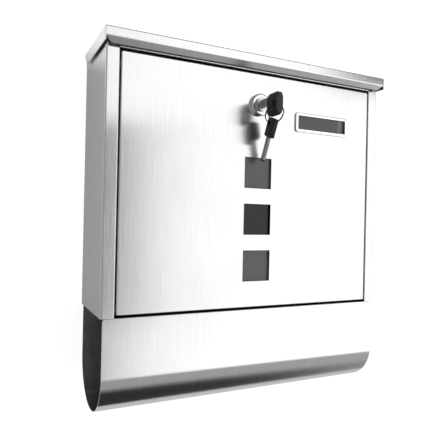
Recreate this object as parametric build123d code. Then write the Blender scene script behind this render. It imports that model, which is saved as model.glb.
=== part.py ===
from build123d import *
import math
import os

# Wall mounted mailbox: millimetres, +Z up, +X to the right, the front faces -Y.
# The origin is the centre of the wall-hole pattern, on the back face that lies against the wall.

# Sheet metal and clearances
sheet = 0.8                  # thickness of the stainless sheet
bend = 1.5                   # outside radius of a fold
tight_bend = 1.0             # outside radius of a fold beside the door
standing_gap = 0.3           # room between pieces that move past each other
running_gap = 0.05           # radial room of a pin that turns in its hole
press_gap = 0.02             # radial room of a rivet or pin that is fixed in its hole

# Letter compartment
body_width = 300.0
body_depth = 84.0
body_height = 243.9          # from the underside of the floor to the top edge of the sides
pillar_width = 12.0          # front flange at each side of the door
pillar_return = 9.0          # edge of that flange, folded back into the box
floor_lip = 12.0             # upturned edge of the floor

# Holes for the wall screws
wall_hole_pitch_x = 220.0
wall_hole_pitch_z = 150.0
wall_hole_radius = 3.5
wall_hole_rise = 121.0       # centre of the pattern above the underside of the floor

# Rail above the door
rail_height = 13.3
rail_depth = 18.0            # lower flange, which carries the strike lip
rail_top_flange = 10.0
strike_lip = 6.0             # upturned edge that the lock's cam goes behind

# Door
door_gap = 1.3               # at each side
door_floor_gap = 2.0
door_rail_gap = 2.0
door_fold = 12.0             # depth of the folded edges
door_corner = 1.6
door_pivot = 5.0             # pivot from the door's front face and from its lower edge

# Door pivot pins and washers
pin_radius = 2.0
pin_head_radius = 3.5
pin_head = 1.2
pin_tail_radius = 2.8
pin_tail = 1.5
washer_radius = 3.2
washer_room = 0.15           # at each face of the washer and under the pin's head

# Lid and its hinge
lid_side_overhang = 2.5
lid_front_overhang = 8.0
lid_lip = 12.5               # height of the side lips
lid_band = 8.5               # height of the upright front band
lid_return = 5.0             # height of the strip below the band, which leans back
lid_return_lean = 3.6        # how far that strip leans back
lid_mitre = 5.5              # how far the strip's ends slope inwards
lid_lip_slant = 12.0         # how far the rear end of a side lip leans forward
lid_corner = 0.5
hinge_rod_radius = 1.5
knuckle_count = 7
knuckle_gap = 0.6
hinge_end = 6.0              # from the side of the box to the first knuckle

# Newspaper holder
holder_drop = 90.0           # below the floor
holder_inset = 1.8           # at each end
holder_flat = 2.0            # flat strip at the very bottom, between the two bends
holder_corner = 3.0          # rounded top corners of the sheet
holder_flange = 21.0
rivet_columns = 3
rivet_margin = 40.0          # from the end of the holder to the first rivet
rivet_edge = 5.0             # from the flange's edge to the rivets
rivet_radius = 1.6
rivet_head_radius = 3.2
rivet_head = 1.0
rivet_head_edge = 0.7        # rounding of the head's rim
rivet_tail_radius = 2.5
rivet_tail = 2.2

# Windows in the door
window_size = 30.0
window_pitch = 45.0
window_count = 3
window_rise = 40.0           # centre of the lowest window above the door's lower edge
window_corner = 0.6
gasket_thickness = 1.8
gasket_border = 7.0
gasket_room = 0.4            # the gasket's openings stand back from the window's edges
pane_thickness = 2.0

# Name plate
name_width = 66.0
name_height = 20.0
name_corner = 3.0
name_border = 3.0
name_projection = 1.8
name_inset = 62.0            # centre from the door's right edge
name_drop = 42.2             # centre below the door's top edge
name_collar_wall = 0.8
name_collar_inset = 1.4      # collar inside the plate's outline
name_collar_depth = 4.0
name_fit = 0.1
lens_thickness = 1.2
card_thickness = 0.4
clip_thickness = 1.2

# Lock
lock_drop = 30.6             # axis below the door's top edge
lock_head_radius = 10.8
lock_projection = 4.4
lock_head_edge = 1.8
barrel_radius = 8.0
barrel_length = 18.0         # behind the door's front face
barrel_room = 0.15
plug_radius = 6.0
plug_face_radius = 6.8
plug_face = 4.0
plug_proud = 2.5             # the plug's face stands this far in front of the head
tooth_washer_radius = 10.5
tooth_washer = 1.0
nut_flats = 22.0
nut_thickness = 4.0
tenon_size = 7.5
cam_room = 0.5               # in front of the cam
cam_thickness = 2.0
cam_width = 14.0
cam_overlap = 5.4            # how far the cam reaches up behind the strike lip
cam_fit = 0.05
screw_radius = 2.0
screw_depth = 8.0
screw_head_radius = 4.0
screw_head = 2.4
screw_slot = 1.0

# Tumbler wafers in the plug
wafer_count = 5
wafer_pitch = 1.7
wafer_thickness = 0.9
wafer_width = 5.0
wafer_height = 10.4
wafer_room = 0.05

# Keys: the bow is the plastic head, the blade goes into the lock
bow_length = 17.5            # along the blade
bow_height = 21.0            # across the blade
bow_thickness = 6.6
bow_corner = 3.0
bow_bevel = 5.2              # sloped border along the bow's long edges
bow_bevel_depth = 1.6
bow_drop = 4.5               # the inserted bow's middle hangs below the blade
bow_stand_off = 12.0         # from the plug's face to the inserted bow
bow_hole_radius = 2.8
bow_hole_inset = 5.2         # from the bow's outer end
blade_length = 24.0
blade_height = 8.0
blade_thickness = 2.2
blade_tip = 2.4
blade_tang = 6.0             # the part of the blade inside the bow
blade_cuts = 4
blade_cut_depth = 0.8
blade_cut_pitch = 3.6
keyway_room = 0.2
keyway_end_room = 1.5

# Key ring
ring_radius = 9.3            # to the middle of the wire
ring_wire_radius = 0.6
ring_room = 0.15
ring_tilt = 34.0             # degrees the ring hangs towards the door
ring_roll = 7.0              # degrees it hangs to the right
spare_swing = 13.0           # degrees the spare key hangs out of the ring's plane
spare_lean = 10.0            # degrees it leans to the left
spare_turn = 11.5            # degrees it is turned about its own length


def wire_to_hole(slant):
    """How far a bow's hole hangs from the middle of the ring's wire, which crosses it at some degrees."""
    half = bow_thickness / 2
    aside = half * math.tan(math.radians(slant))
    along = half / math.cos(math.radians(slant))
    rise = ring_radius - (ring_radius ** 2 - along ** 2) ** 0.5
    return bow_hole_radius - ring_wire_radius - ring_room - aside - rise


# Places that follow from the sizes above
half_width = body_width / 2
front_y = -body_depth
floor_z = -wall_hole_rise
top_z = floor_z + body_height
opening_half = half_width - pillar_width
rail_low_z = top_z - rail_height
door_half = opening_half - door_gap
door_low_z = floor_z + door_floor_gap
door_high_z = rail_low_z - door_rail_gap
door_inner_y = front_y + sheet
pivot_y = front_y + door_pivot
pivot_z = door_low_z + door_pivot
lid_top_z = top_z + standing_gap + sheet
lid_half = half_width + lid_side_overhang
lid_front_y = front_y - lid_front_overhang
knuckle_radius = hinge_rod_radius + running_gap + sheet
hinge_y = -knuckle_radius
hinge_z = lid_top_z - knuckle_radius
hinge_half = half_width - hinge_end
lid_rear_y = hinge_y - knuckle_radius - knuckle_gap
holder_half = half_width - holder_inset
holder_radius = (body_depth - holder_flat) / 2
window_centres = [door_low_z + window_rise + i * window_pitch for i in range(window_count)]
pane_half_width = window_size / 2 + gasket_border
pane_low_z = window_centres[0] - window_size / 2 - gasket_border
pane_high_z = window_centres[-1] + window_size / 2 + gasket_border
gasket_back_y = door_inner_y + gasket_thickness
name_x = door_half - name_inset
name_z = door_high_z - name_drop
name_back_y = front_y + name_collar_depth
collar_width = name_width - 2 * name_collar_inset
collar_height = name_height - 2 * name_collar_inset
slot_width = collar_width - 2 * name_collar_wall
slot_height = collar_height - 2 * name_collar_wall
lock_z = door_high_z - lock_drop
lock_front_y = front_y - lock_projection
plug_front_y = lock_front_y - plug_proud
barrel_back_y = front_y + barrel_length
cam_y = max(barrel_back_y, front_y + rail_depth) + cam_room
cam_reach = lock_drop + door_rail_gap + cam_overlap
bow_y = plug_front_y - bow_stand_off
bow_z = lock_z - bow_drop
bow_hole_y = bow_y - bow_length + bow_hole_inset
ring_turn = Rot(ring_tilt, 0, 0) * Rot(0, -ring_roll, 0)
ring_hinge = Pos(0, bow_hole_y, bow_z) * ring_turn * Pos(0, 0, -wire_to_hole(ring_roll))
ring_place = ring_hinge * Pos(0, 0, -ring_radius)
spare_hinge = ring_place * Pos(0, 0, -ring_radius)
spare_slant = math.degrees(math.acos(
    math.cos(math.radians(spare_lean)) * math.cos(math.radians(spare_turn))
))


def block(x, y, z):
    """Box between a low and a high bound along each axis."""
    bounds = (x, y, z)
    size = [high - low for low, high in bounds]
    middle = [(low + high) / 2 for low, high in bounds]
    return Pos(*middle) * Box(*size)


def rod_x(radius, low, high, y, z):
    """Cylinder along X."""
    return Pos((low + high) / 2, y, z) * Rot(0, 90, 0) * Cylinder(radius, high - low)


def rod_y(radius, low, high, x, z):
    """Cylinder along Y."""
    return Pos(x, (low + high) / 2, z) * Rot(90, 0, 0) * Cylinder(radius, high - low)


def rod_z(radius, low, high, x, y):
    """Cylinder along Z."""
    return Pos(x, y, (low + high) / 2) * Cylinder(radius, high - low)


def panel(width, height, corner, y, x, z):
    """Plate with rounded corners that faces the front, between a low and a high Y."""
    face = Plane((x, y[1], z), x_dir=(1, 0, 0), z_dir=(0, -1, 0))
    return extrude(face * RectangleRounded(width, height, corner), y[1] - y[0])


def folded(points, radii):
    """Section of a folded sheet that lies to the left of the face given by its corners."""
    corners = [Vector(*point) for point in points]
    steps = [(b - a).normalized() for a, b in zip(corners, corners[1:])]
    normals = [Vector(-step.Y, step.X) for step in steps]
    inner = [corners[0] + normals[0] * sheet]
    for corner, before, after in zip(corners[1:-1], normals, normals[1:]):
        inner.append(corner + (before + after) * (sheet / (1 + before.dot(after))))
    inner.append(corners[-1] + normals[-1] * sheet)
    outside = FilletPolyline(*corners, radius=radii)
    inside = FilletPolyline(*inner, radius=[radius - sheet for radius in radii])
    ends = [Line(corners[0], inner[0]), Line(corners[-1], inner[-1])]
    return make_face(outside.edges() + inside.edges() + ends)


def mirrored(solid):
    """The piece and its twin on the other side of the box."""
    return solid + mirror(solid, about=Plane.YZ)


def knuckle_spans(first):
    """Every second stretch along the lid's hinge, from the first or the second one."""
    pitch = (2 * hinge_half + knuckle_gap) / knuckle_count
    starts = [-hinge_half + i * pitch for i in range(first, knuckle_count, 2)]
    return [(start, start + pitch - knuckle_gap) for start in starts]


def knuckle(span):
    """Rolled sheet round the hinge rod."""
    bore = rod_x(hinge_rod_radius + running_gap, *span, hinge_y, hinge_z)
    return rod_x(knuckle_radius, *span, hinge_y, hinge_z) - bore


def make_body_wrap():
    """Back, sides and front flanges, folded from one sheet, with rolled knuckles at the back's top."""
    path = [
        (opening_half, front_y + pillar_return),
        (opening_half, front_y),
        (half_width, front_y),
        (half_width, 0),
    ]
    path += [(-x, y) for x, y in reversed(path)]
    radii = [tight_bend, bend, bend, bend, bend, tight_bend]
    wrap = extrude(Plane.XY.offset(floor_z) * folded(path, radii), body_height)
    notch_z = hinge_z - knuckle_radius - knuckle_gap
    wrap -= block((-hinge_half, hinge_half), (-bend, bend), (notch_z, top_z + bend))
    for span in knuckle_spans(1):
        wrap += block(span, (-sheet, 0), (notch_z, hinge_z)) + knuckle(span)
        wrap -= rod_x(hinge_rod_radius + running_gap, *span, hinge_y, hinge_z)
    for x in (-wall_hole_pitch_x / 2, wall_hole_pitch_x / 2):
        for z in (-wall_hole_pitch_z / 2, wall_hole_pitch_z / 2):
            wrap -= rod_y(wall_hole_radius, -bend, bend, x, z)
    pin_hole = rod_x(pin_radius + press_gap, opening_half - bend, opening_half + bend, pivot_y, pivot_z)
    return wrap - mirrored(pin_hole)


def rivet_places():
    """Where the newspaper holder is riveted to the floor."""
    span = 2 * (holder_half - rivet_margin)
    columns = [span * (i / (rivet_columns - 1) - 0.5) for i in range(rivet_columns)]
    rows = (front_y + holder_flange - rivet_edge, rivet_edge - holder_flange)
    return [(x, y) for x in columns for y in rows]


def rivet_holes():
    """Holes for the rivets, through the floor and the holder's flanges."""
    low, high = floor_z - 2 * sheet, floor_z + 2 * sheet
    return [rod_z(rivet_radius + press_gap, low, high, x, y) for x, y in rivet_places()]


def make_floor_pan():
    """Floor with upturned edges at the sides and the back; it ends behind the front flanges."""
    side = half_width - sheet
    back = -sheet
    edge_y = front_y + pillar_return + standing_gap
    tray = block((-side, side), (edge_y, back), (floor_z, floor_z + floor_lip))
    tray -= block(
        (-side + sheet, side - sheet),
        (edge_y - sheet, back - sheet),
        (floor_z + sheet, floor_z + floor_lip + sheet),
    )
    tray = fillet(tray.edges().filter_by(Axis.Z).group_by(Axis.Y)[-1], bend)
    return tray - rivet_holes()


def make_top_rail():
    """Channel across the front above the door; its rear lip is the lock's strike."""
    path = [
        (front_y + rail_top_flange, top_z),
        (front_y, top_z),
        (front_y, rail_low_z),
        (front_y + rail_depth, rail_low_z),
        (front_y + rail_depth, rail_low_z + strike_lip),
    ]
    section = Plane.YZ.offset(-opening_half) * folded(path, [bend, tight_bend, bend])
    return extrude(section, 2 * opening_half)


def make_newspaper_holder():
    """Open tube below the box, bent from one sheet, with flanges under the floor."""
    low_z = floor_z - holder_drop
    path = [
        (front_y + holder_flange, floor_z),
        (front_y, floor_z),
        (front_y, low_z),
        (0, low_z),
        (0, floor_z),
        (-holder_flange, floor_z),
    ]
    section = folded(path, [tight_bend, holder_radius, holder_radius, tight_bend])
    holder = extrude(Plane.YZ.offset(-holder_half) * section, 2 * holder_half)
    sheet_outline = (2 * holder_half, 2 * holder_drop, holder_corner)
    holder &= panel(*sheet_outline, (front_y - sheet, sheet), 0, low_z)
    return holder - rivet_holes()


def make_holder_rivets():
    """Blind rivets: head on the floor, tail under the flange."""
    rivets = Part()
    head_z = floor_z + sheet
    tail_z = floor_z - sheet
    for x, y in rivet_places():
        head = rod_z(rivet_head_radius, head_z, head_z + rivet_head, x, y)
        head = fillet(head.edges().sort_by(Axis.Z)[-1], rivet_head_edge)
        shank = rod_z(rivet_radius, tail_z, head_z, x, y)
        tail = rod_z(rivet_tail_radius, tail_z - rivet_tail, tail_z, x, y)
        rivets += head + shank + tail
    return rivets


def make_door_pins():
    """Pivot pins, one at each lower corner of the door, fixed in the front flanges."""
    head_x = door_half - sheet - washer_room
    tail_x = opening_half + sheet
    head = rod_x(pin_head_radius, head_x - pin_head, head_x, pivot_y, pivot_z)
    shank = rod_x(pin_radius, head_x, tail_x, pivot_y, pivot_z)
    tail = rod_x(pin_tail_radius, tail_x, tail_x + pin_tail, pivot_y, pivot_z)
    return mirrored(head + shank + tail)


def make_door_washers():
    """Plastic washers that keep the door central between the front flanges."""
    span = (door_half + washer_room, opening_half - washer_room)
    bore = rod_x(pin_radius + running_gap, *span, pivot_y, pivot_z)
    return mirrored(rod_x(washer_radius, *span, pivot_y, pivot_z) - bore)


def make_lid():
    """Sheet lid with side lips and a front band."""
    band_z = lid_top_z - lid_band
    path = [
        (lid_rear_y, lid_top_z),
        (lid_front_y, lid_top_z),
        (lid_front_y, band_z),
        (lid_front_y + lid_return_lean, band_z - lid_return),
    ]
    inner_half = lid_half - sheet
    plate = extrude(Plane.YZ.offset(-inner_half) * folded(path, [bend, bend]), 2 * inner_half)
    mitre = Polyline(
        (inner_half, band_z),
        (inner_half, band_z - 2 * lid_return),
        (inner_half - 2 * lid_mitre, band_z - 2 * lid_return),
        close=True,
    )
    mitre_face = Plane((0, lid_front_y + 2 * lid_return_lean, 0), x_dir=(1, 0, 0), z_dir=(0, -1, 0))
    plate -= mirrored(extrude(mitre_face * make_face(mitre), 4 * lid_return_lean))
    lip_z = lid_top_z - lid_lip
    outline = make_face(Polyline(
        (hinge_y, lid_top_z),
        (lid_front_y, lid_top_z),
        (lid_front_y, lip_z),
        (hinge_y - lid_lip_slant, lip_z),
        close=True,
    ))
    front_corner = outline.vertices().group_by(Axis.X)[0].sort_by(Axis.Y)[-1]
    lip = extrude(Plane.YZ.offset(inner_half) * fillet(front_corner, bend), sheet)
    rim = lip.faces().sort_by(Axis.X)[-1].edges()
    lip = fillet([edge for edge in rim if edge.center().Z > lip_z + lid_corner], lid_corner)
    return plate + mirrored(lip)


def make_lid_knuckles():
    """Short leaves of sheet rolled round the hinge rod, welded to the lid's rear edge."""
    leaves = Part()
    for span in knuckle_spans(0):
        leaf = block(span, (lid_rear_y, hinge_y), (lid_top_z - sheet, lid_top_z)) + knuckle(span)
        leaves += leaf - rod_x(hinge_rod_radius + running_gap, *span, hinge_y, hinge_z)
    return leaves


def make_hinge_rod():
    """Rod through all knuckles of the lid's hinge."""
    return rod_x(hinge_rod_radius, -hinge_half, hinge_half, hinge_y, hinge_z)


def make_door_panel():
    """Door skin with folded edges, and its cut-outs."""
    width = 2 * door_half
    height = door_high_z - door_low_z
    middle_z = (door_low_z + door_high_z) / 2
    skin = panel(width, height, door_corner, (front_y, front_y + door_fold), 0, middle_z)
    skin = fillet(skin.faces().sort_by(Axis.Y)[0].edges(), tight_bend)
    hollow_y = (door_inner_y, front_y + door_fold + sheet)
    hollow = panel(width - 2 * sheet, height - 2 * sheet, door_corner - sheet, hollow_y, 0, middle_z)
    hollow = fillet(hollow.faces().sort_by(Axis.Y)[0].edges(), tight_bend - sheet)
    door = skin - hollow
    through = (front_y - sheet, door_inner_y + sheet)
    for z in window_centres:
        door -= panel(window_size, window_size, window_corner, through, 0, z)
    name_hole = (collar_width + 2 * name_fit, collar_height + 2 * name_fit)
    door -= panel(*name_hole, name_corner - name_collar_inset + name_fit, through, name_x, name_z)
    door -= rod_y(barrel_radius + barrel_room, *through, 0, lock_z)
    pin_hole = rod_x(pin_radius + running_gap, door_half - bend, door_half + bend, pivot_y, pivot_z)
    return door - mirrored(pin_hole)


def make_window_gasket():
    """Foam strip between the door and the pane, open behind each window."""
    middle_z = (pane_low_z + pane_high_z) / 2
    depth = (door_inner_y, gasket_back_y)
    gasket = panel(2 * pane_half_width, pane_high_z - pane_low_z, window_corner, depth, 0, middle_z)
    opening = window_size + 2 * gasket_room
    for z in window_centres:
        gasket -= panel(opening, opening, window_corner, depth, 0, z)
    return gasket


def make_window_pane():
    """Tinted acrylic strip behind all windows."""
    depth = (gasket_back_y, gasket_back_y + pane_thickness)
    middle_z = (pane_low_z + pane_high_z) / 2
    return panel(2 * pane_half_width, pane_high_z - pane_low_z, window_corner, depth, 0, middle_z)


def make_name_bezel():
    """Frame of the name plate, with a collar through the door."""
    depth = (front_y - name_projection, front_y)
    frame = panel(name_width, name_height, name_corner, depth, name_x, name_z)
    frame = fillet(frame.faces().sort_by(Axis.Y)[0].edges(), name_projection / 2)
    corner = name_corner - name_collar_inset
    frame += panel(collar_width, collar_height, corner, (front_y, name_back_y), name_x, name_z)
    slot_corner = corner - name_collar_wall
    frame -= panel(slot_width, slot_height, slot_corner, (front_y, name_back_y), name_x, name_z)
    sight = (name_width - 2 * name_border, name_height - 2 * name_border)
    return frame - panel(*sight, slot_corner, depth, name_x, name_z)


def name_insert(y):
    """Plate that fits inside the name plate's collar."""
    corner = name_corner - name_collar_inset - name_collar_wall
    size = (slot_width - 2 * name_fit, slot_height - 2 * name_fit)
    return panel(*size, corner - name_fit, y, name_x, name_z)


def make_name_lens():
    """Clear cover of the name card."""
    return name_insert((front_y, front_y + lens_thickness))


def make_name_card():
    """Blank card behind the lens."""
    return name_insert((front_y + lens_thickness, front_y + lens_thickness + card_thickness))


def make_name_clip():
    """Plug that closes the collar from inside the door and holds card and lens."""
    plug = name_insert((front_y + lens_thickness + card_thickness, name_back_y))
    back = (name_back_y, name_back_y + clip_thickness)
    return plug + panel(name_width, name_height, name_corner, back, name_x, name_z)


def make_lock_housing():
    """Lock body: domed head outside, barrel through the door, bored for the plug."""
    head = rod_y(lock_head_radius, lock_front_y, front_y, 0, lock_z)
    head = fillet(head.edges().sort_by(Axis.Y)[0], lock_head_edge)
    barrel = rod_y(barrel_radius, front_y, barrel_back_y, 0, lock_z)
    bore = rod_y(plug_radius + running_gap, lock_front_y, barrel_back_y, 0, lock_z)
    face_back_y = plug_front_y + plug_face + running_gap
    face_bore = rod_y(plug_face_radius + running_gap, lock_front_y, face_back_y, 0, lock_z)
    return head + barrel - bore - face_bore


def make_tooth_washer():
    """Washer between the door and the lock's nut."""
    span = (door_inner_y, door_inner_y + tooth_washer)
    bore = rod_y(barrel_radius + barrel_room, *span, 0, lock_z)
    return rod_y(tooth_washer_radius, *span, 0, lock_z) - bore


def make_lock_nut():
    """Hexagon nut that clamps the lock to the door."""
    nut_y = door_inner_y + tooth_washer
    face = Plane((0, nut_y + nut_thickness, lock_z), x_dir=(1, 0, 0), z_dir=(0, -1, 0))
    hexagon = RegularPolygon(nut_flats / 2, 6, major_radius=False)
    bore = rod_y(barrel_radius + press_gap, nut_y, nut_y + nut_thickness, 0, lock_z)
    return extrude(face * hexagon, nut_thickness) - bore


def wafer_places():
    """Depths of the tumbler wafers along the plug."""
    first = front_y - wafer_pitch
    return [first + i * wafer_pitch for i in range(wafer_count)]


def slab(width, height, y):
    """Plate across the lock's axis."""
    return block((-width / 2, width / 2), y, (lock_z - height / 2, lock_z + height / 2))


def make_lock_plug():
    """Turning core of the lock, with keyway, wafer slots and a square end for the cam."""
    face = rod_y(plug_face_radius, plug_front_y, plug_front_y + plug_face, 0, lock_z)
    core = rod_y(plug_radius, plug_front_y, cam_y - standing_gap, 0, lock_z)
    tenon_end_y = cam_y + cam_thickness
    plug = face + core + slab(tenon_size, tenon_size, (cam_y - standing_gap, tenon_end_y))
    keyway_end_y = bow_y + blade_length + keyway_end_room
    keyway = (blade_thickness + 2 * keyway_room, blade_height + 2 * keyway_room)
    plug -= slab(*keyway, (plug_front_y, keyway_end_y))
    slot = (wafer_width + 2 * wafer_room, 2 * plug_radius)
    for y in wafer_places():
        plug -= slab(*slot, (y - wafer_room, y + wafer_thickness + wafer_room))
    return plug - rod_y(screw_radius + press_gap, tenon_end_y - screw_depth, tenon_end_y, 0, lock_z)


def make_wafers():
    """Tumbler wafers, each with a window that the key's blade passes through."""
    window = (blade_thickness + 2 * keyway_room, blade_height + 2 * keyway_room)
    wafers = Part()
    for y in wafer_places():
        span = (y, y + wafer_thickness)
        wafers += slab(wafer_width, wafer_height, span) - slab(*window, span)
    return wafers


def make_lock_cam():
    """Tongue on the back of the plug: it points aside when open and up behind the rail when locked."""
    face = Plane((0, cam_y + cam_thickness, lock_z), x_dir=(1, 0, 0), z_dir=(0, -1, 0))
    length = cam_reach + cam_width / 2
    outline = Pos(-cam_reach / 2 + cam_width / 4) * SlotOverall(length, cam_width)
    tenon_hole = slab(tenon_size + 2 * cam_fit, tenon_size + 2 * cam_fit, (cam_y, cam_y + cam_thickness))
    return extrude(face * outline, cam_thickness) - tenon_hole


def make_cam_screw():
    """Screw that holds the cam on the plug."""
    back_y = cam_y + cam_thickness
    head = rod_y(screw_head_radius, back_y, back_y + screw_head, 0, lock_z)
    head_y = back_y + screw_head
    head -= slab(2 * screw_head_radius, screw_slot, (head_y - screw_slot, head_y))
    return head + rod_y(screw_radius, back_y - screw_depth, back_y, 0, lock_z)


def blade_outline():
    """Side view of a key's blade from its tang to its tip."""
    half = blade_height / 2
    shoulder = blade_length - blade_tip
    corners = [(-blade_tang, -half), (shoulder, -half), (blade_length, blade_tip - half)]
    corners += [(y, -z) for y, z in reversed(corners)]
    return make_face(Polyline(*corners, close=True))


def make_key():
    """Blade and bow of a key: the bow ends at the origin, the blade runs along +Y."""
    side = Plane.YZ.offset(-blade_thickness / 2)
    blade = extrude(side * blade_outline(), blade_thickness)
    for i in range(blade_cuts):
        y = blade_length - blade_tip - (i + 1) * blade_cut_pitch
        for z in (-blade_height / 2, blade_height / 2):
            notch = Box(2 * blade_thickness, blade_cut_depth * 2 ** 0.5, blade_cut_depth * 2 ** 0.5)
            blade -= Pos(0, y, z) * Rot(45, 0, 0) * notch
    half = bow_thickness / 2
    flat = bow_height / 2 - bow_bevel
    corners = [(-half, flat), (bow_bevel_depth - half, bow_height / 2)]
    corners += [(-x, z) for x, z in reversed(corners)]
    corners += [(x, -z) for x, z in reversed(corners)]
    section = Plane.XZ * make_face(Polyline(*corners, close=True))
    outline = Pos(-bow_length / 2) * RectangleRounded(bow_length, bow_height, bow_corner)
    bow = extrude(section, bow_length) & extrude(Plane.YZ.offset(-half) * outline, bow_thickness)
    hole_y = bow_hole_inset - bow_length
    return blade, bow - rod_x(bow_hole_radius, -half, half, hole_y, 0)


def make_inserted_key():
    """Key in the lock: its bow hangs lower than its blade."""
    blade, bow = make_key()
    blade = Pos(0, bow_y, lock_z) * blade
    bow = Pos(0, bow_y, bow_z) * bow
    return blade, bow - blade


def make_spare_key():
    """Second key, hanging from the ring with its blade down, leaning and turned a little."""
    bow_end = bow_hole_inset - bow_length - wire_to_hole(spare_slant)
    leaning = spare_hinge * Rot(-spare_swing, 0, 0) * Rot(0, spare_lean, 0)
    hang = leaning * Pos(0, 0, bow_end) * Rot(0, 0, -spare_turn) * Rot(-90, 0, 0)
    blade, bow = make_key()
    return hang * blade, hang * (bow - blade)


def make_key_ring():
    """Wire ring through both bows."""
    return ring_place * Rot(90, 0, 0) * Torus(ring_radius, ring_wire_radius)


key_blade, key_bow = make_inserted_key()
spare_key_blade, spare_key_bow = make_spare_key()

nodes = {
    "body_wrap": make_body_wrap(),
    "floor_pan": make_floor_pan(),
    "top_rail": make_top_rail(),
    "newspaper_holder": make_newspaper_holder(),
    "holder_rivets": make_holder_rivets(),
    "door_pivot_pins": make_door_pins(),
    "door_pivot_washers": make_door_washers(),
    "lid_hinge_rod": make_hinge_rod(),
    "lid": make_lid(),
    "lid_knuckles": make_lid_knuckles(),
    "door_panel": make_door_panel(),
    "window_gasket": make_window_gasket(),
    "window_pane": make_window_pane(),
    "name_bezel": make_name_bezel(),
    "name_lens": make_name_lens(),
    "name_card": make_name_card(),
    "name_clip": make_name_clip(),
    "lock_housing": make_lock_housing(),
    "lock_washer": make_tooth_washer(),
    "lock_nut": make_lock_nut(),
    "lock_plug": make_lock_plug(),
    "lock_wafers": make_wafers(),
    "lock_cam": make_lock_cam(),
    "cam_screw": make_cam_screw(),
    "key_blade": key_blade,
    "key_bow": key_bow,
    "key_ring": make_key_ring(),
    "spare_key_blade": spare_key_blade,
    "spare_key_bow": spare_key_bow,
}

os.makedirs("parts", exist_ok=True)
for name, solid in nodes.items():
    export_step(solid, f"parts/{name}.step")
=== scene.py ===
import math

import bmesh
import bpy
from mathutils import Matrix, Vector


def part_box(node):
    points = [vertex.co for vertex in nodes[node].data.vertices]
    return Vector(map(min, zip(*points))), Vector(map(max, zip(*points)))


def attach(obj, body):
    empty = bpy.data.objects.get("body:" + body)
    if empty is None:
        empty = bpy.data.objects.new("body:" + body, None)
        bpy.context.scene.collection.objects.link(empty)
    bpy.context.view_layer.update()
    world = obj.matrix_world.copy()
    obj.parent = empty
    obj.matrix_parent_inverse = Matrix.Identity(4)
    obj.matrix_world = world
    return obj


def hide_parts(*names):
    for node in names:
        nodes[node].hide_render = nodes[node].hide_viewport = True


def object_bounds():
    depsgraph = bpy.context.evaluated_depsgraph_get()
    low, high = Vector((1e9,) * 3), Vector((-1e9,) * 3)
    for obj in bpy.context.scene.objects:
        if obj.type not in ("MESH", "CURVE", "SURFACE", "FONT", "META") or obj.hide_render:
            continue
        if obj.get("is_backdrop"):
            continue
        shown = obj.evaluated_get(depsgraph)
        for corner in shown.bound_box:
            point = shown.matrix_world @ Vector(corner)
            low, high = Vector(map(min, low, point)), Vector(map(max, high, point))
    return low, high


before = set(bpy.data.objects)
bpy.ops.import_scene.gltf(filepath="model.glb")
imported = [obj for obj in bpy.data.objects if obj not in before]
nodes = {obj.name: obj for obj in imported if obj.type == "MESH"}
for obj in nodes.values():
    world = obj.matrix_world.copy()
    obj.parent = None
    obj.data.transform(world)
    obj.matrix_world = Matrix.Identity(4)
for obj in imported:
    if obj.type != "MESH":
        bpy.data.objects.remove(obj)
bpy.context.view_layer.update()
scene = bpy.context.scene
scene.view_settings.view_transform = "Standard"
MM = 0.001


def linear(code):
    """Linear colour of an sRGB hex value."""
    values = [int(code[i:i + 2], 16) / 255 for i in (1, 3, 5)]
    return [v / 12.92 if v <= 0.04045 else ((v + 0.055) / 1.055) ** 2.4 for v in values] + [1.0]


def add(tree, kind, inputs=None, **settings):
    """Adds a node with its settings, and gives its inputs a value or a link."""
    node = tree.nodes.new(kind)
    for name, value in settings.items():
        setattr(node, name, value)
    for name, value in (inputs or {}).items():
        if isinstance(value, bpy.types.NodeSocket):
            tree.links.new(value, node.inputs[name])
        else:
            node.inputs[name].default_value = value
    return node


# Camera at the photograph's viewing angle: low, in front of the box and to its left.
camera = bpy.data.objects.new("camera", bpy.data.cameras.new("camera"))
camera.data.lens = 40.0
camera.data.sensor_width = 36.0
camera.data.clip_start = 0.01
camera_place = (-0.24199, -0.49505, -0.03581)
camera_up = Vector((-0.01997, 0.00864, 0.99976))
look = Vector((0.44069, 0.89766, 0.00104)).normalized()
side = look.cross(camera_up).normalized()
turn = Matrix((side, side.cross(look), -look)).transposed().to_4x4()
camera.matrix_world = Matrix.Translation(camera_place) @ turn
scene.collection.objects.link(camera)
scene.camera = camera


def new_material(name):
    """Empty material and its tree."""
    material = bpy.data.materials.new(name)
    material.use_nodes = True
    material.node_tree.nodes.clear()
    return material, material.node_tree


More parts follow.
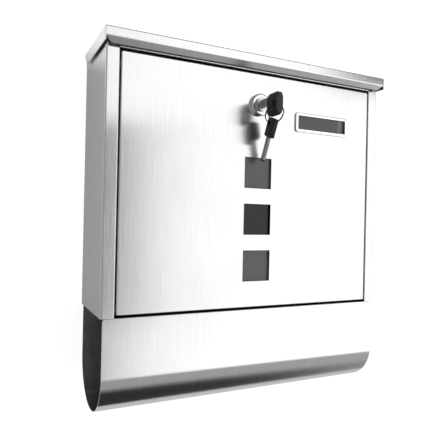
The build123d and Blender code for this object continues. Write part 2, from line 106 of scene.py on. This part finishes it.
def spotted(name, colours, roughness, spot, relief, stretch=(1, 1, 1), **sockets):
    """Material whose colour and roughness wander over spots. Their size and relief are in mm."""
    material, tree = new_material(name)
    place = add(tree, "ShaderNodeTexCoord").outputs["Object"]
    scale = [s / (spot * MM) for s in stretch]
    place = add(tree, "ShaderNodeMapping", {"Vector": place, "Scale": scale}).outputs["Vector"]
    noise = {"Vector": place, "Scale": 1.0, "Detail": 4.0, "Roughness": 0.6}
    spots = add(tree, "ShaderNodeTexNoise", noise).outputs["Fac"]
    spread = {"Value": spots, "From Min": 0.3, "From Max": 0.7}
    share = add(tree, "ShaderNodeMapRange", spread).outputs["Result"]
    ends = {0: share, 6: linear(colours[0]), 7: linear(colours[1])}
    colour = add(tree, "ShaderNodeMix", ends, data_type="RGBA").outputs[2]
    gloss = {"Value": share, "To Min": roughness[0], "To Max": roughness[1]}
    shine = add(tree, "ShaderNodeMapRange", gloss).outputs["Result"]
    bump = {"Height": spots, "Strength": 1.0, "Distance": relief * MM}
    normal = add(tree, "ShaderNodeBump", bump).outputs["Normal"]
    inputs = {"Base Color": colour, "Roughness": shine, "Normal": normal}
    inputs.update({key.replace("_", " "): value for key, value in sockets.items()})
    surface = add(tree, "ShaderNodeBsdfPrincipled", inputs).outputs["BSDF"]
    add(tree, "ShaderNodeOutputMaterial", {"Surface": surface})
    return material


def brushed_sheet(name):
    """Stainless sheet, belt-brushed: fine upright lines that spread a reflection sideways."""
    material, tree = new_material(name)
    place = add(tree, "ShaderNodeTexCoord").outputs["Object"]
    normal = add(tree, "ShaderNodeNewGeometry").outputs["Normal"]
    facing = add(tree, "ShaderNodeSeparateXYZ", {"Vector": normal}).outputs["X"]
    facing = add(tree, "ShaderNodeMath", {0: facing}, operation="ABSOLUTE").outputs[0]
    sideways = {0: facing, 1: math.cos(math.radians(45))}
    on_side = add(tree, "ShaderNodeMath", sideways, operation="GREATER_THAN").outputs[0]
    axes = add(tree, "ShaderNodeSeparateXYZ", {"Vector": place}).outputs
    across = add(tree, "ShaderNodeMix", {0: on_side, 2: axes["X"], 3: axes["Y"]}).outputs[0]
    # The belt's lines are about 0.1 mm apart and 50 mm long; they are drawn 0.8 mm apart to show.
    line_gap = 0.8 * MM
    line_length = 50 * MM
    fine = {0: across, 1: 1 / line_gap}
    fine = add(tree, "ShaderNodeMath", fine, operation="MULTIPLY").outputs[0]
    run = add(tree, "ShaderNodeMath", {0: axes["Y"], 1: axes["Z"]}, operation="ADD").outputs[0]
    long = {0: run, 1: 1 / line_length}
    long = add(tree, "ShaderNodeMath", long, operation="MULTIPLY").outputs[0]
    lines = add(tree, "ShaderNodeCombineXYZ", {"X": fine, "Y": long}).outputs["Vector"]
    noise = {"Vector": lines, "Scale": 1.0, "Detail": 3.0, "Roughness": 0.65}
    grain = add(tree, "ShaderNodeTexNoise", noise).outputs["Fac"]
    spread = {"Value": grain, "From Min": 0.3, "From Max": 0.7}
    grain = add(tree, "ShaderNodeMapRange", spread).outputs["Result"]
    # Faint clouds of handling, about 60 mm across.
    cloud = {"Vector": place, "Scale": 1 / (60 * MM), "Detail": 3.0}
    cloud = add(tree, "ShaderNodeTexNoise", cloud).outputs["Fac"]
    ends = {0: grain, 6: linear("#D4D5D7"), 7: linear("#E2E2E4")}
    colour = add(tree, "ShaderNodeMix", ends, data_type="RGBA").outputs[2]
    # Painted shade: the seam under the door is coloured near black, where the gap lies in shadow.
    low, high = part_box("door_panel")
    seam_end = 1.5 * MM
    seam_start, seam_depth = 1 * MM, 12 * MM
    seam_below, seam_height = 0.7 * MM, 3.2 * MM
    seam = (
        (axes["X"], 0, high.x + seam_end),
        (axes["Y"], low.y + seam_start + seam_depth / 2, seam_depth / 2),
        (axes["Z"], low.z - seam_below, seam_height / 2),
    )
    seam_shade = None
    for axis, middle, reach in seam:
        part = {0: axis, 1: middle, 2: reach}
        part = add(tree, "ShaderNodeMath", part, operation="COMPARE").outputs[0]
        if seam_shade:
            part = add(tree, "ShaderNodeMath", {0: part, 1: seam_shade}, operation="MULTIPLY").outputs[0]
        seam_shade = part
    # Painted shade: near black inside the seam's box under the door.
    ends = {0: seam_shade, 6: colour, 7: linear("#161616")}
    colour = add(tree, "ShaderNodeMix", ends, data_type="RGBA").outputs[2]
    gloss = {"Value": grain, "To Min": 0.17, "To Max": 0.21}
    shine = add(tree, "ShaderNodeMapRange", gloss).outputs["Result"]
    haze = {"Value": cloud, "From Min": 0.35, "From Max": 0.7, "To Min": -0.01, "To Max": 0.02}
    haze = add(tree, "ShaderNodeMapRange", haze).outputs["Result"]
    shine = add(tree, "ShaderNodeMath", {0: shine, 1: haze}, operation="ADD").outputs[0]
    bump = {"Height": grain, "Strength": 0.12, "Distance": 0.02 * MM}
    relief = add(tree, "ShaderNodeBump", bump).outputs["Normal"]
    ends = {0: on_side, 4: (1, 0, 0), 5: (0, 1, 0)}
    tangent = add(tree, "ShaderNodeMix", ends, data_type="VECTOR").outputs[1]
    inputs = {
        "Base Color": colour,
        "Metallic": 1.0,
        "Roughness": shine,
        "Anisotropic": 0.85,
        "Tangent": tangent,
        "Normal": relief,
    }
    surface = add(tree, "ShaderNodeBsdfPrincipled", inputs).outputs["BSDF"]
    add(tree, "ShaderNodeOutputMaterial", {"Surface": surface})
    return material


stainless = brushed_sheet("brushed_stainless_sheet")
# Chrome on die-cast zinc: a clear mirror, dulled a little by fingers.
chrome = spotted(
    "chrome_plated_zinc", ("#D2D3D5", "#E2E2E3"), (0.05, 0.14), spot=4.0, relief=0.002, Metallic=1.0
)
# Zinc-plated steel: bright, with a slightly cloudy shine.
zinc = spotted(
    "zinc_plated_steel", ("#AEB0B2", "#CFD0D1"), (0.18, 0.34), spot=1.5, relief=0.004, Metallic=1.0
)
# Spring steel wire, nickel plated: dark mirror with drawing marks along it.
spring = spotted(
    "nickel_plated_wire", ("#262627", "#3E3E3F"), (0.16, 0.30), spot=0.6, relief=0.003, Metallic=1.0
)
# Nickel on brass, milled: soft shine, worn brighter in places.
nickel = spotted(
    "nickel_plated_brass",
    ("#A2A2A3", "#C6C6C7"),
    (0.22, 0.40),
    spot=0.8,
    relief=0.006,
    Metallic=1.0,
)
# Aluminium of a blind rivet: pale and dull, with press marks.
rivet_alloy = spotted(
    "rivet_aluminium", ("#BDBEC0", "#DADADB"), (0.28, 0.45), spot=0.6, relief=0.01, Metallic=1.0
)
# Aluminium strip, polished: pale mirror with faint drawing lines along its length.
polished = spotted(
    "polished_aluminium",
    ("#E0E0E1", "#F0F0F0"),
    (0.12, 0.22),
    spot=0.5,
    relief=0.002,
    stretch=(0.05, 1, 1),
    Metallic=1.0,
)
# Brass strip, stamped: warm, with dull edges.
brass = spotted(
    "stamped_brass", ("#A88A4E", "#C9AE72"), (0.25, 0.42), spot=0.7, relief=0.006, Metallic=1.0
)
# Nylon, moulded: grey, waxy, with a soft shine.
nylon = spotted(
    "moulded_nylon", ("#58595B", "#6A6B6D"), (0.38, 0.52), spot=0.5, relief=0.01, IOR=1.53
)
# Black ABS with a spark-eroded texture: fine grain of about 0.3 mm that breaks up the shine.
abs_black = spotted(
    "moulded_abs", ("#111112", "#1E1E1F"), (0.42, 0.58), spot=0.35, relief=0.03, IOR=1.54
)
# Closed-cell foam tape: matt black with tiny cells of about half a millimetre.
foam = spotted(
    "closed_cell_foam", ("#050505", "#131313"), (0.85, 1.0), spot=0.5, relief=0.15, IOR=1.45
)


def turned_chrome(name):
    """Chrome over a face that was turned on a lathe: fine rings that spread the shine."""
    material, tree = new_material(name)
    place = add(tree, "ShaderNodeTexCoord").outputs["Object"]
    low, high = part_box("lock_plug")
    axis = ((low.x + high.x) / 2, 0, (low.z + high.z) / 2)
    place = {0: place, 1: axis}
    place = add(tree, "ShaderNodeVectorMath", place, operation="SUBTRACT").outputs[0]
    flat = {0: place, 1: (1, 0, 1)}
    flat = add(tree, "ShaderNodeVectorMath", flat, operation="MULTIPLY").outputs[0]
    away = add(tree, "ShaderNodeVectorMath", {0: flat}, operation="LENGTH").outputs["Value"]
    # The tool's rings are about 0.1 mm apart; they are drawn 0.6 mm apart to show.
    ring_gap = 0.6 * MM
    rings = {0: away, 1: 2 * math.pi / ring_gap}
    rings = add(tree, "ShaderNodeMath", rings, operation="MULTIPLY").outputs[0]
    rings = add(tree, "ShaderNodeMath", {0: rings}, operation="SINE").outputs[0]
    gloss = {"Value": rings, "From Min": -1.0, "To Min": 0.24, "To Max": 0.34}
    shine = add(tree, "ShaderNodeMapRange", gloss).outputs["Result"]
    ends = {0: shine, 6: linear("#D0D1D3"), 7: linear("#B4B5B7")}
    colour = add(tree, "ShaderNodeMix", ends, data_type="RGBA").outputs[2]
    bump = {"Height": rings, "Strength": 1.0, "Distance": 0.008 * MM}
    normal = add(tree, "ShaderNodeBump", bump).outputs["Normal"]
    inputs = {"Base Color": colour, "Metallic": 1.0, "Roughness": shine, "Normal": normal}
    surface = add(tree, "ShaderNodeBsdfPrincipled", inputs).outputs["BSDF"]
    add(tree, "ShaderNodeOutputMaterial", {"Surface": surface})
    return material


def smoked_acrylic(name):
    """Cast acrylic, smoked: a clear shine over a tint, with painted shade that makes it darkest at
    the middle window.
    """
    material, tree = new_material(name)
    place = add(tree, "ShaderNodeTexCoord").outputs["Object"]
    height = add(tree, "ShaderNodeSeparateXYZ", {"Vector": place}).outputs["Z"]
    low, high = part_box("window_pane")
    offset = {0: height, 1: (low.z + high.z) / 2}
    offset = add(tree, "ShaderNodeMath", offset, operation="SUBTRACT").outputs[0]
    offset = add(tree, "ShaderNodeMath", {0: offset}, operation="ABSOLUTE").outputs[0]
    # The middle window ends about 15 mm from the pane's middle, and the next starts at 30 mm.
    window_end, next_window = 16 * MM, 30 * MM
    near = {"Value": offset, "From Min": window_end, "From Max": next_window}
    share = add(tree, "ShaderNodeMapRange", near, interpolation_type="SMOOTHSTEP").outputs["Result"]
    # Painted shade: the colour is darkest behind the middle window and paler behind the others.
    ends = {0: share, 6: linear("#121314"), 7: linear("#646668")}
    colour = add(tree, "ShaderNodeMix", ends, data_type="RGBA").outputs[2]
    # Casting ripple about 25 mm long and some hundredths of a millimetre deep.
    ripple = {"Vector": place, "Scale": 1 / (25 * MM), "Detail": 1.0}
    ripple = add(tree, "ShaderNodeTexNoise", ripple).outputs["Fac"]
    bump = {"Height": ripple, "Strength": 1.0, "Distance": 0.03 * MM}
    normal = add(tree, "ShaderNodeBump", bump).outputs["Normal"]
    inputs = {
        "Base Color": colour,
        "Roughness": 0.04,
        "IOR": 1.49,
        "Specular IOR Level": 0.35,
        "Normal": normal,
    }
    surface = add(tree, "ShaderNodeBsdfPrincipled", inputs).outputs["BSDF"]
    add(tree, "ShaderNodeOutputMaterial", {"Surface": surface})
    return material


def clear_acrylic(name):
    """Clear acrylic: see-through, with a thin shine; the lamp's light passes it to the card."""
    material, tree = new_material(name)
    place = add(tree, "ShaderNodeTexCoord").outputs["Object"]
    # Wiping marks about 8 mm long that dull the shine in places.
    marks = {"Vector": place, "Scale": 1 / (8 * MM), "Detail": 3.0}
    marks = add(tree, "ShaderNodeTexNoise", marks).outputs["Fac"]
    gloss = {"Value": marks, "From Min": 0.4, "From Max": 0.7, "To Min": 0.02, "To Max": 0.08}
    shine = add(tree, "ShaderNodeMapRange", gloss).outputs["Result"]
    shadow = add(tree, "ShaderNodeLightPath").outputs["Is Shadow Ray"]
    solid = add(tree, "ShaderNodeMath", {0: 1.0, 1: shadow}, operation="SUBTRACT").outputs[0]
    inputs = {
        "Base Color": linear("#F4F6F6"),
        "Roughness": shine,
        "IOR": 1.49,
        "Transmission Weight": 1.0,
        "Alpha": solid,
    }
    surface = add(tree, "ShaderNodeBsdfPrincipled", inputs).outputs["BSDF"]
    add(tree, "ShaderNodeOutputMaterial", {"Surface": surface})
    return material


def blank_card(name):
    """Dark card, matt, with short paper fibres and a pale strip near its right end."""
    material, tree = new_material(name)
    place = add(tree, "ShaderNodeTexCoord").outputs["Object"]
    across = add(tree, "ShaderNodeSeparateXYZ", {"Vector": place}).outputs["X"]
    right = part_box("name_card")[1].x
    strip_inset = 6.4 * MM
    strip_width = 4.4 * MM
    strip = {0: across, 1: right - strip_inset, 2: strip_width / 2}
    strip = add(tree, "ShaderNodeMath", strip, operation="COMPARE").outputs[0]
    # Fibres about 0.4 mm thick and 2 mm long, which lie along the card.
    fibre_length, fibre_width = 2 * MM, 0.4 * MM
    scale = (1 / fibre_length, 1 / fibre_width, 1 / fibre_width)
    fibres = {"Vector": place, "Scale": scale}
    fibres = add(tree, "ShaderNodeMapping", fibres).outputs["Vector"]
    fibres = {"Vector": fibres, "Scale": 1.0, "Detail": 3.0}
    fibres = add(tree, "ShaderNodeTexNoise", fibres).outputs["Fac"]
    ends = {0: fibres, 6: linear("#86888A"), 7: linear("#969899")}
    dark = add(tree, "ShaderNodeMix", ends, data_type="RGBA").outputs[2]
    ends = {0: strip, 6: dark, 7: linear("#C4C5C6")}
    colour = add(tree, "ShaderNodeMix", ends, data_type="RGBA").outputs[2]
    bump = {"Height": fibres, "Strength": 1.0, "Distance": 0.02 * MM}
    normal = add(tree, "ShaderNodeBump", bump).outputs["Normal"]
    inputs = {"Base Color": colour, "Roughness": 0.8, "Normal": normal}
    surface = add(tree, "ShaderNodeBsdfPrincipled", inputs).outputs["BSDF"]
    add(tree, "ShaderNodeOutputMaterial", {"Surface": surface})
    return material


finishes = {
    stainless: (
        "body_wrap",
        "floor_pan",
        "top_rail",
        "newspaper_holder",
        "lid",
        "lid_knuckles",
        "door_panel",
    ),
    chrome: ("lock_housing",),
    turned_chrome("turned_chrome_plate"): ("lock_plug",),
    zinc: (
        "door_pivot_pins",
        "lid_hinge_rod",
        "lock_washer",
        "lock_nut",
        "lock_cam",
        "cam_screw",
    ),
    spring: ("key_ring",),
    nickel: ("key_blade", "spare_key_blade"),
    rivet_alloy: ("holder_rivets",),
    polished: ("name_bezel",),
    brass: ("lock_wafers",),
    nylon: ("door_pivot_washers",),
    abs_black: ("key_bow", "spare_key_bow", "name_clip"),
    foam: ("window_gasket",),
    smoked_acrylic("smoked_acrylic"): ("window_pane",),
    clear_acrylic("clear_acrylic"): ("name_lens",),
    blank_card("matt_card"): ("name_card",),
}
for material, names in finishes.items():
    for name in names:
        nodes[name].data.materials.clear()
        nodes[name].data.materials.append(material)


def wound_wire_tree():
    """Geometry tree of a wire wound round the Z axis."""
    tree = bpy.data.node_groups.new("wound_wire", "GeometryNodeTree")
    for name in ("Turns", "Radius", "Height", "Wire"):
        tree.interface.new_socket(name, in_out="INPUT", socket_type="NodeSocketFloat")
    tree.interface.new_socket("Finish", in_out="INPUT", socket_type="NodeSocketMaterial")
    tree.interface.new_socket("Geometry", in_out="OUTPUT", socket_type="NodeSocketGeometry")
    given = add(tree, "NodeGroupInput").outputs
    winding = {
        "Resolution": 64,
        "Rotations": given["Turns"],
        "Start Radius": given["Radius"],
        "End Radius": given["Radius"],
        "Height": given["Height"],
    }
    path = add(tree, "GeometryNodeCurveSpiral", winding).outputs["Curve"]
    section = {"Resolution": 8, "Radius": given["Wire"]}
    section = add(tree, "GeometryNodeCurvePrimitiveCircle", section).outputs["Curve"]
    wire = {"Curve": path, "Profile Curve": section, "Fill Caps": True}
    wire = add(tree, "GeometryNodeCurveToMesh", wire).outputs["Mesh"]
    wire = add(tree, "GeometryNodeSetShadeSmooth", {"Geometry": wire}).outputs["Geometry"]
    wire = add(tree, "GeometryNodeRealizeInstances", {"Geometry": wire}).outputs["Geometry"]
    wire = {"Geometry": wire, "Material": given["Finish"]}
    wire = add(tree, "GeometryNodeSetMaterial", wire).outputs["Geometry"]
    add(tree, "NodeGroupOutput", {"Geometry": wire})
    return tree


def rivet_grid_tree():
    """Geometry tree of rivets in rows and columns."""
    tree = bpy.data.node_groups.new("rivet_grid", "GeometryNodeTree")
    for name in ("Width", "Depth"):
        tree.interface.new_socket(name, in_out="INPUT", socket_type="NodeSocketFloat")
    for name in ("Columns", "Rows"):
        tree.interface.new_socket(name, in_out="INPUT", socket_type="NodeSocketInt")
    tree.interface.new_socket("Rivet", in_out="INPUT", socket_type="NodeSocketObject")
    tree.interface.new_socket("Finish", in_out="INPUT", socket_type="NodeSocketMaterial")
    tree.interface.new_socket("Geometry", in_out="OUTPUT", socket_type="NodeSocketGeometry")
    given = add(tree, "NodeGroupInput").outputs
    grid = {
        "Size X": given["Width"],
        "Size Y": given["Depth"],
        "Vertices X": given["Columns"],
        "Vertices Y": given["Rows"],
    }
    grid = add(tree, "GeometryNodeMeshGrid", grid).outputs["Mesh"]
    rivet = add(tree, "GeometryNodeObjectInfo", {"Object": given["Rivet"]}).outputs["Geometry"]
    rivets = {"Points": grid, "Instance": rivet}
    rivets = add(tree, "GeometryNodeInstanceOnPoints", rivets).outputs["Instances"]
    rivets = add(tree, "GeometryNodeRealizeInstances", {"Geometry": rivets}).outputs["Geometry"]
    rivets = {"Geometry": rivets, "Material": given["Finish"]}
    rivets = add(tree, "GeometryNodeSetMaterial", rivets).outputs["Geometry"]
    add(tree, "NodeGroupOutput", {"Geometry": rivets})
    return tree


def grown(name, tree, sizes, place):
    """Piece with the plain mesh that a geometry tree gives for some sizes."""
    piece = bpy.data.objects.new(name, bpy.data.meshes.new(name))
    scene.collection.objects.link(piece)
    modifier = piece.modifiers.new("tree", "NODES")
    modifier.node_group = tree
    sockets = [item for item in tree.interface.items_tree if item.in_out == "INPUT"]
    keys = {socket.name: socket.identifier for socket in sockets}
    for size, value in sizes.items():
        modifier[keys[size]] = value
    evaluated = piece.evaluated_get(bpy.context.evaluated_depsgraph_get())
    mesh = bpy.data.meshes.new_from_object(evaluated)
    piece.modifiers.remove(modifier)
    mesh.transform(place)
    piece.data = mesh
    return piece


def middle_of(node):
    """Middle of a node's box."""
    low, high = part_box(node)
    return (low + high) / 2


# Key ring: two turns of spring wire side by side, with the ends at its right.
wound_wire = wound_wire_tree()
ring_wire = 0.42 * MM
ring_rise = 2 * ring_wire
ring_radius = 9.3 * MM
ring_turns = 1.97
ring = {
    "Turns": ring_turns,
    "Radius": ring_radius,
    "Height": ring_turns * ring_rise,
    "Wire": ring_wire,
    "Finish": spring,
}
ring_tilt = math.radians(34)
ring_roll = math.radians(7)
lean = Matrix.Rotation(ring_tilt, 4, "X") @ Matrix.Rotation(-ring_roll, 4, "Y")
upright = lean @ Matrix.Rotation(math.pi / 2, 4, "X")
centred = Matrix.Translation((0, 0, -ring["Height"] / 2))
place = Matrix.Translation(middle_of("key_ring")) @ upright @ centred
split_ring = grown("split_ring", wound_wire, ring, place)
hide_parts("key_ring")
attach(split_ring, "ring")

# Thread of the lock's barrel, behind its nut.
thread_pitch = 1.0 * MM
thread_radius = 7.95 * MM
thread_wire = 0.35 * MM
thread_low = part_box("lock_nut")[1].y + thread_pitch / 2
thread_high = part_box("lock_housing")[1].y - thread_pitch / 2
thread = {
    "Turns": (thread_high - thread_low) / thread_pitch,
    "Radius": thread_radius,
    "Height": thread_high - thread_low,
    "Wire": thread_wire,
    "Finish": chrome,
}
thread_start = (0, thread_low, middle_of("lock_plug").z)
place = Matrix.Translation(thread_start) @ Matrix.Rotation(-math.pi / 2, 4, "X")
barrel_thread = grown("barrel_thread", wound_wire, thread, place)
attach(barrel_thread, "door")

# Blind rivets: domed head with the broken mandrel in its middle, and a bulged tail.
# The profile's radii and heights are in mm, from the mandrel over the rim to the tail's end.
rivet_sides = 24
head_radius = 3.2
head_height = 1.0
shank_radius = 1.6
head_profile = [
    (0, 0.45),
    (0.75, 0.45),
    (0.8, 0.85),
    (1.0, head_height),
    (1.8, 0.95),
    (2.6, 0.68),
    (3.05, 0.3),
    (head_radius, 0),
]
tail_profile = [
    (shank_radius, 0),
    (shank_radius, -1.6),
    (2.15, -1.7),
    (2.5, -2.3),
    (2.4, -3.0),
    (1.9, -3.55),
    (1.0, -3.8),
    (0, -3.8),
]
turned = bmesh.new()
rim = [turned.verts.new((r * MM, 0, z * MM)) for r, z in head_profile + tail_profile]
edges = [turned.edges.new(pair) for pair in zip(rim, rim[1:])]
full_turn = 2 * math.pi
bmesh.ops.spin(turned, geom=rim + edges, axis=(0, 0, 1), steps=rivet_sides, angle=full_turn)
bmesh.ops.remove_doubles(turned, verts=turned.verts, dist=0.01 * MM)
bmesh.ops.recalc_face_normals(turned, faces=turned.faces)
one_rivet = bpy.data.objects.new("one_rivet", bpy.data.meshes.new("one_rivet"))
turned.to_mesh(one_rivet.data)
turned.free()
one_rivet.data.shade_smooth()
one_rivet.data.set_sharp_from_angle(angle=math.radians(50))
low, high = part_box("holder_rivets")
rivets = {
    "Width": high.x - low.x - 2 * head_radius * MM,
    "Depth": high.y - low.y - 2 * head_radius * MM,
    "Columns": 3,
    "Rows": 2,
    "Rivet": one_rivet,
    "Finish": rivet_alloy,
}
centre = middle_of("holder_rivets")
place = Matrix.Translation((centre.x, centre.y, high.z - head_height * MM))
blind_rivets = grown("blind_rivets", rivet_grid_tree(), rivets, place)
bpy.data.objects.remove(one_rivet)
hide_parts("holder_rivets")
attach(blind_rivets, "case")


def softened(node, name, width, material):
    """Copy of a moulded node with its sharp edges rounded to a width in mm."""
    shape = bmesh.new()
    shape.from_mesh(nodes[node].data)
    bmesh.ops.remove_doubles(shape, verts=shape.verts, dist=0.001 * MM)
    flat, crease, smooth = math.radians(1), math.radians(14), math.radians(40)
    bmesh.ops.dissolve_limit(shape, angle_limit=flat, verts=shape.verts, edges=shape.edges)
    sharp = [e for e in shape.edges if e.is_manifold and e.calc_face_angle() > crease]
    rounding = {"offset": width * MM, "segments": 3, "profile": 0.5, "affect": "EDGES"}
    bmesh.ops.bevel(shape, geom=sharp, clamp_overlap=True, **rounding)
    mesh = bpy.data.meshes.new(name)
    shape.to_mesh(mesh)
    shape.free()
    mesh.shade_smooth()
    mesh.set_sharp_from_angle(angle=smooth)
    mesh.materials.append(material)
    piece = bpy.data.objects.new(name, mesh)
    scene.collection.objects.link(piece)
    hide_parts(node)
    return piece


# Bows of the keys, with the soft edges of a moulding.
for node, body in (("key_bow", "key"), ("spare_key_bow", "spare_key")):
    bow = softened(node, node + "_moulding", width=0.5, material=abs_black)
    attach(bow, body)


# Stage: a pale wall behind the box and a pale floor well below it.
def plate(name, corners, material):
    """Flat four-cornered piece of the stage."""
    mesh = bpy.data.meshes.new(name)
    mesh.from_pydata(corners, [], [(0, 1, 2, 3)])
    mesh.materials.append(material)
    piece = bpy.data.objects.new(name, mesh)
    scene.collection.objects.link(piece)
    piece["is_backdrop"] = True
    return piece


def painted_wall(name):
    """Flat white paint. It is open from behind and where it is touched, so the back can be seen."""
    material, tree = new_material(name)
    path = add(tree, "ShaderNodeLightPath").outputs
    seen = {0: path["Is Glossy Ray"], 1: path["Is Transmission Ray"]}
    seen = add(tree, "ShaderNodeMath", seen, operation="MAXIMUM").outputs[0]
    place = add(tree, "ShaderNodeTexCoord").outputs["Object"]
    height = add(tree, "ShaderNodeSeparateXYZ", {"Vector": place}).outputs["Z"]
    # Painted reflection: what metal mirrors of the wall glows dim beside the box, standing in for
    # the box's shade on it, and brighter above it.
    shade = {"Value": height, "From Min": 0.11, "From Max": 0.14, "To Min": 0.14, "To Max": 0.66}
    shade = add(tree, "ShaderNodeMapRange", shade).outputs["Result"]
    glow = add(tree, "ShaderNodeMath", {0: seen, 1: shade}, operation="MULTIPLY").outputs[0]
    camera_glow = 0.76
    glow = {0: path["Is Camera Ray"], 1: camera_glow, 2: glow}
    glow = add(tree, "ShaderNodeMath", glow, operation="MULTIPLY_ADD").outputs[0]
    light = add(tree, "ShaderNodeEmission", {"Strength": glow}).outputs["Emission"]
    paint = {"Color": linear("#F2F2F2")}
    paint = add(tree, "ShaderNodeBsdfDiffuse", paint).outputs["BSDF"]
    front = add(tree, "ShaderNodeAddShader", {0: paint, 1: light}).outputs["Shader"]
    touch = 3 * MM
    near = {0: path["Ray Length"], 1: touch}
    near = add(tree, "ShaderNodeMath", near, operation="LESS_THAN").outputs[0]
    behind = add(tree, "ShaderNodeNewGeometry").outputs["Backfacing"]
    behind = add(tree, "ShaderNodeMath", {0: behind, 1: near}, operation="MAXIMUM").outputs[0]
    clear = add(tree, "ShaderNodeBsdfTransparent").outputs["BSDF"]
    ends = {0: behind, 1: front, 2: clear}
    surface = add(tree, "ShaderNodeMixShader", ends).outputs["Shader"]
    add(tree, "ShaderNodeOutputMaterial", {"Surface": surface})
    return material


def matt_paint(name, colour, glow=0.0):
    """Flat paint of one colour, which can be paler to the camera than its light makes it."""
    material, tree = new_material(name)
    paint = {"Color": linear(colour)}
    paint = add(tree, "ShaderNodeBsdfDiffuse", paint).outputs["BSDF"]
    seen = add(tree, "ShaderNodeLightPath").outputs["Is Camera Ray"]
    glow = add(tree, "ShaderNodeMath", {0: seen, 1: glow}, operation="MULTIPLY").outputs[0]
    light = add(tree, "ShaderNodeEmission", {"Strength": glow}).outputs["Emission"]
    surface = add(tree, "ShaderNodeAddShader", {0: paint, 1: light}).outputs["Shader"]
    add(tree, "ShaderNodeOutputMaterial", {"Surface": surface})
    return material


wall_y = 0.8 * MM
wall_z = -0.42
floor_z = -1.1
reach = 4.0
corners = [
    (-reach, wall_y, wall_z),
    (reach, wall_y, wall_z),
    (reach, wall_y, reach),
    (-reach, wall_y, reach),
]
plate("wall", corners, painted_wall("wall_paint"))
corners = [
    (-reach, -reach, floor_z),
    (reach, -reach, floor_z),
    (reach, reach, floor_z),
    (-reach, reach, floor_z),
]
floor = plate("floor", corners, matt_paint("floor_paint", "#E4E4E2", glow=0.45))
# Metal mirrors the dark room below in place of the floor.
floor.visible_glossy = False


def softbox(name, left, right, low, high, radiance):
    """Upright soft lamp of a given brightness, between two places on the floor plan."""
    left, right = Vector(left), Vector(right)
    lamp = bpy.data.lights.new(name, "AREA")
    lamp.shape = "RECTANGLE"
    lamp.size = (right - left).length
    lamp.size_y = high - low
    lamp.energy = radiance * math.pi * lamp.size * lamp.size_y
    across = ((right - left) / lamp.size).to_3d()
    up = Vector((0, 0, 1))
    piece = bpy.data.objects.new(name, lamp)
    centre = ((left + right) / 2).to_3d() + up * (low + high) / 2
    axes = Matrix((across, up, across.cross(up).normalized())).transposed().to_4x4()
    piece.matrix_world = Matrix.Translation(centre) @ axes
    piece.visible_camera = False
    scene.collection.objects.link(piece)


softbox("front_softbox", (0.05, -1.84), (1.60, -0.91), low=-0.98, high=0.85, radiance=1.07)


def grey_card(name, left, right, low, high, colour):
    """Matt card in front of the lamp, which keeps part of its glare off the metal."""
    corners = [(*right, low), (*left, low), (*left, high), (*right, high)]
    card = plate(name, corners, matt_paint(name, colour))
    card.visible_camera = False


grey_card("left_card", (-0.10, -1.60), (0.305, -1.60), low=-0.45, high=0.35, colour="#585858")
grey_card("low_card", (-0.10, -1.60), (0.215, -1.60), low=-0.95, high=-0.45, colour="#7A7A7A")
grey_card("right_card", (0.385, -0.434), (0.70, -0.434), low=0.236, high=0.50, colour="#6A6A6A")

# Room light: dark below and a little dimmer to the left. To the camera it is white.
world = bpy.data.worlds.new("studio")
world.use_nodes = True
sky = world.node_tree
sky.nodes.clear()
toward = add(sky, "ShaderNodeTexCoord").outputs["Generated"]
axes = add(sky, "ShaderNodeSeparateXYZ", {"Vector": toward}).outputs
rise = {"Value": axes["Z"], "From Min": -0.88, "From Max": -0.70, "To Min": 0.05, "To Max": 0.6}
room = add(sky, "ShaderNodeMapRange", rise, interpolation_type="SMOOTHSTEP").outputs["Result"]
aside = {"Value": axes["X"], "From Min": 0.0, "From Max": 0.6, "To Min": 0.8, "To Max": 1.0}
aside = add(sky, "ShaderNodeMapRange", aside, interpolation_type="SMOOTHSTEP").outputs["Result"]
room = add(sky, "ShaderNodeMath", {0: room, 1: aside}, operation="MULTIPLY").outputs[0]
seen = add(sky, "ShaderNodeLightPath").outputs["Is Camera Ray"]
room = add(sky, "ShaderNodeMix", {0: seen, 2: room, 3: 1.0}).outputs[0]
room = add(sky, "ShaderNodeBackground", {"Strength": room}).outputs["Background"]
add(sky, "ShaderNodeOutputWorld", {"Surface": room})
scene.world = world

low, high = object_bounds()
